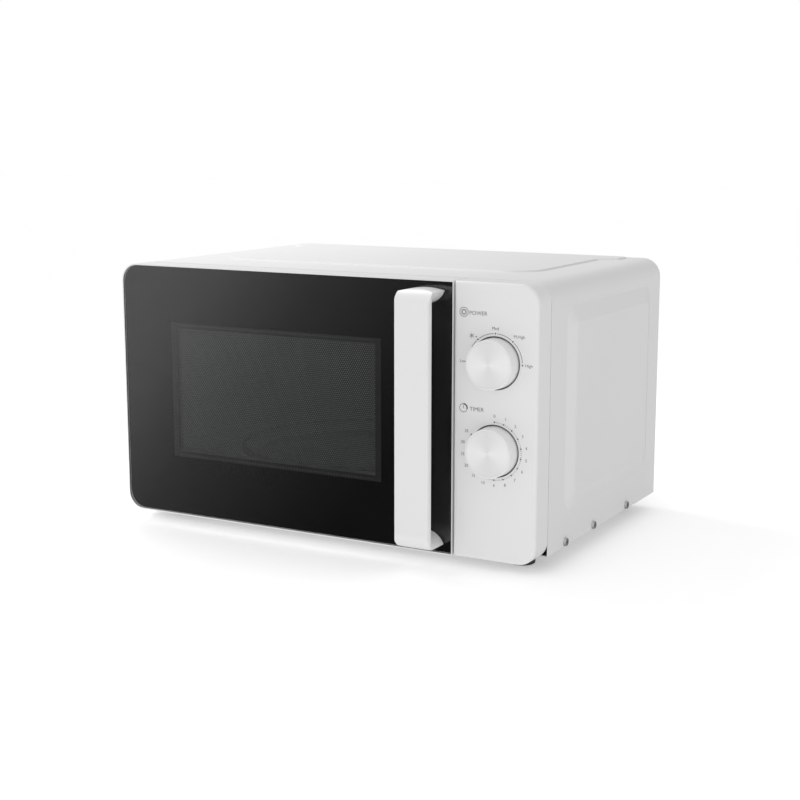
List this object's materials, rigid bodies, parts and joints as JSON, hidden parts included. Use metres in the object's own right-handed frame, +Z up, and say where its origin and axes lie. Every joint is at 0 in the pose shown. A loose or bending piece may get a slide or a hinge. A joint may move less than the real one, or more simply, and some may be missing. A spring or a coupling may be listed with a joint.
{
  "type": "microwave oven",
  "caption": "Compact white countertop microwave oven with a side-hinged black glass door, a vertical bow handle, two rotary controls and a glass turntable.",
  "frame": {"origin": "on the floor, under the middle of the whole oven's box", "axes": "+X towards the control panel side, +Y from the door to the back, +Z up"},
  "size_m": [0.448, 0.34, 0.2576],
  "materials": {
    "cabinet_white": "smooth white powder coat",
    "bare_steel": "galvanised sheet",
    "cavity_enamel": "light grey enamel",
    "mica": "pressed mica sheet",
    "tube_metal": "plated",
    "fin_aluminium": "plain rolled",
    "can_aluminium": "drawn can",
    "core_steel": "varnished laminations",
    "winding": "enamelled copper wire",
    "black_moulding": "fine satin",
    "red_moulding": "satin",
    "board": "brown circuit board",
    "fan_moulding": "satin grey",
    "timer_case": "grey satin",
    "motor_case": "plated case",
    "spindle_metal": "turned",
    "white_moulding": "fine satin white",
    "spun_cap": "spun silver-white",
    "natural_moulding": "natural",
    "black_rubber": "matt",
    "foot_moulding": "satin",
    "screw_steel": "bright nickel",
    "spring_steel": "drawn wire",
    "door_glass_black": "black-printed glass with a clear window",
    "tray_glass": "clear pressed glass"
  },
  "bodies": {
    "cabinet": {"cabinet_wrapper": "cabinet_white", "base_plate": "bare_steel", "rear_panel": "bare_steel", "waveguide": "bare_steel", "magnetron_yoke": "bare_steel", "capacitor_clamp": "bare_steel", "lower_hinge": "bare_steel", "upper_hinge": "bare_steel", "front_plate": "cavity_enamel", "cavity_wrap": "cavity_enamel", "cavity_floor": "cavity_enamel", "cavity_back": "cavity_enamel", "waveguide_cover": "mica", "magnetron_tube": "tube_metal", "magnetron_fins": "fin_aluminium", "capacitor": "can_aluminium", "transformer_core": "core_steel", "fan_motor": "core_steel", "transformer_windings": "winding", "hv_diode": "black_moulding", "thermal_cutouts": "black_moulding", "oven_lamp": "black_moulding", "door_switch_1": "black_moulding", "door_switch_2": "black_moulding", "door_switch_3": "black_moulding", "filter_board": "board", "fan_shroud": "fan_moulding", "timer_unit": "timer_case", "turntable_motor": "motor_case", "control_panel": "white_moulding", "latch_bracket": "natural_moulding", "cord_gland": "black_rubber", "feet": "foot_moulding", "rear_spacer": "foot_moulding", "cabinet_screws": "screw_steel"},
    "door": {"door_frame": "white_moulding", "door_glass": "door_glass_black", "door_inner_panel": "cavity_enamel", "seal_cover": "black_moulding", "handle": "white_moulding", "handle_screws": "screw_steel", "latch_spring": "spring_steel"},
    "latch": {"latch_hook": "natural_moulding"},
    "power_control": {"power_knob": "white_moulding", "power_knob_cap": "spun_cap", "power_spindle": "spindle_metal"},
    "timer_control": {"timer_knob": "white_moulding", "timer_knob_cap": "spun_cap", "timer_spindle": "spindle_metal"},
    "turntable_drive": {"drive_coupler": "natural_moulding"},
    "tray": {"glass_tray": "tray_glass"},
    "ring": {"roller_ring": "natural_moulding"},
    "wheel_1": {"roller_wheel_1": "natural_moulding"},
    "wheel_2": {"roller_wheel_2": "natural_moulding"},
    "wheel_3": {"roller_wheel_3": "natural_moulding"},
    "fan": {"fan_blade": "fan_moulding"},
    "plunger_1": {"switch_plunger_1": "red_moulding"},
    "plunger_2": {"switch_plunger_2": "red_moulding"},
    "plunger_3": {"switch_plunger_3": "red_moulding"}
  },
  "joints": [
    {"name": "door_hinge", "type": "hinge", "parent": "cabinet", "child": "door", "pos_m": [-0.208, -0.128, 0.1345], "axis": [0, 0, -1], "range_deg": [0, 100]},
    {"name": "latch_slide", "type": "slide", "parent": "door", "child": "latch", "axis": [0, 0, 1], "range_m": [0, 0.004], "stiffness_N_per_m": 250, "springref_m": -0.003, "deforming": ["latch_spring"]},
    {"name": "power_turn", "type": "hinge", "parent": "cabinet", "child": "power_control", "pos_m": [0.1803, -0.14, 0.1876], "axis": [0, 1, 0], "range_deg": [0, 180]},
    {"name": "timer_turn", "type": "hinge", "parent": "cabinet", "child": "timer_control", "pos_m": [0.1803, -0.14, 0.1113], "axis": [0, 1, 0], "range_deg": [0, 300]},
    {"name": "turntable_spin", "type": "hinge", "parent": "cabinet", "child": "turntable_drive", "pos_m": [-0.045, 0.0205, 0.04], "axis": [0, 0, 1], "continuous": true},
    {"name": "tray_lift", "type": "slide", "parent": "turntable_drive", "child": "tray", "axis": [0, 0, 1], "range_m": [0, 0.03]},
    {"name": "ring_spin", "type": "hinge", "parent": "cabinet", "child": "ring", "pos_m": [-0.045, 0.0205, 0.0473], "axis": [0, 0, 1], "continuous": true},
    {"name": "wheel_1_spin", "type": "hinge", "parent": "ring", "child": "wheel_1", "pos_m": [0.053, 0.0205, 0.0473], "axis": [1, 0, 0], "continuous": true},
    {"name": "wheel_2_spin", "type": "hinge", "parent": "ring", "child": "wheel_2", "pos_m": [-0.094, 0.10537, 0.0473], "axis": [-0.5, 0.866, 0], "continuous": true},
    {"name": "wheel_3_spin", "type": "hinge", "parent": "ring", "child": "wheel_3", "pos_m": [-0.094, -0.06437, 0.0473], "axis": [-0.5, -0.866, 0], "continuous": true},
    {"name": "fan_spin", "type": "hinge", "parent": "cabinet", "child": "fan", "pos_m": [0.158, 0.14, 0.182], "axis": [0, -1, 0], "continuous": true},
    {"name": "plunger_1_travel", "type": "slide", "parent": "cabinet", "child": "plunger_1", "axis": [0, -1, 0], "range_m": [0, 0.0016]},
    {"name": "plunger_2_travel", "type": "slide", "parent": "cabinet", "child": "plunger_2", "axis": [0, -1, 0], "range_m": [0, 0.0016]},
    {"name": "plunger_3_travel", "type": "slide", "parent": "cabinet", "child": "plunger_3", "axis": [0, -1, 0], "range_m": [0, 0.0016]}
  ],
  "couplings": [
    {"joint": "ring_spin", "follows": "turntable_spin", "ratio": 0.5},
    {"joint": "wheel_1_spin", "follows": "turntable_spin", "ratio": -7},
    {"joint": "wheel_2_spin", "follows": "turntable_spin", "ratio": -7},
    {"joint": "wheel_3_spin", "follows": "turntable_spin", "ratio": -7},
    {"joint": "plunger_1_travel", "follows": "door_hinge", "m_per_rad": 0.00086},
    {"joint": "plunger_2_travel", "follows": "door_hinge", "m_per_rad": 0.00086},
    {"joint": "plunger_3_travel", "follows": "door_hinge", "m_per_rad": 0.00086}
  ]
}
